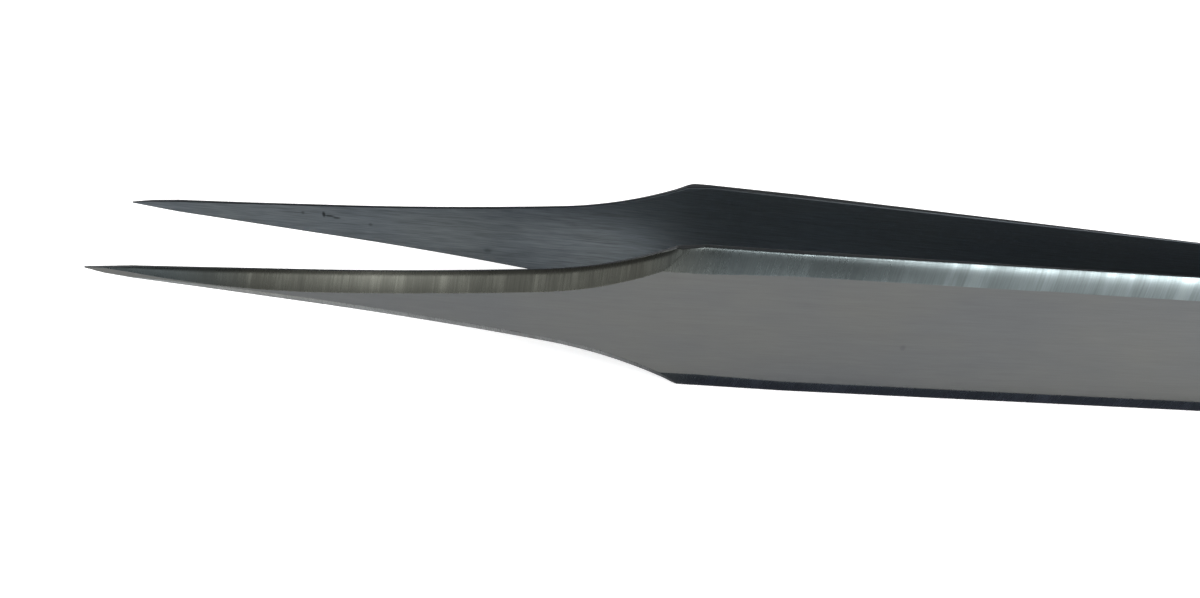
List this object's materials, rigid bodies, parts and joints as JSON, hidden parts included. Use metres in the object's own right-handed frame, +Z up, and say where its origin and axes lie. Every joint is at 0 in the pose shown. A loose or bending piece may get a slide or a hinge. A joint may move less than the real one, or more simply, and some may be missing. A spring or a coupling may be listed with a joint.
{
  "type": "fine-point forceps",
  "caption": "Straight forceps of spring steel with wide flat grips, sharp shoulders and slender bevelled shanks ground to needle points, welded face to face at the heel.",
  "frame": {"origin": "centre of the bounding box, at the level of the lower edges that the forceps lies on", "axes": "+X from the points towards the heel, +Z up across the width of the arms, Y across the gap between the arms, with the left arm at -Y"},
  "size_m": [0.11, 0.009, 0.0101],
  "materials": {
    "steel": "satin ground, fine brushed lines"
  },
  "bodies": {
    "root": {"left_arm": "steel", "right_arm": "steel"}
  },
  "joints": []
}
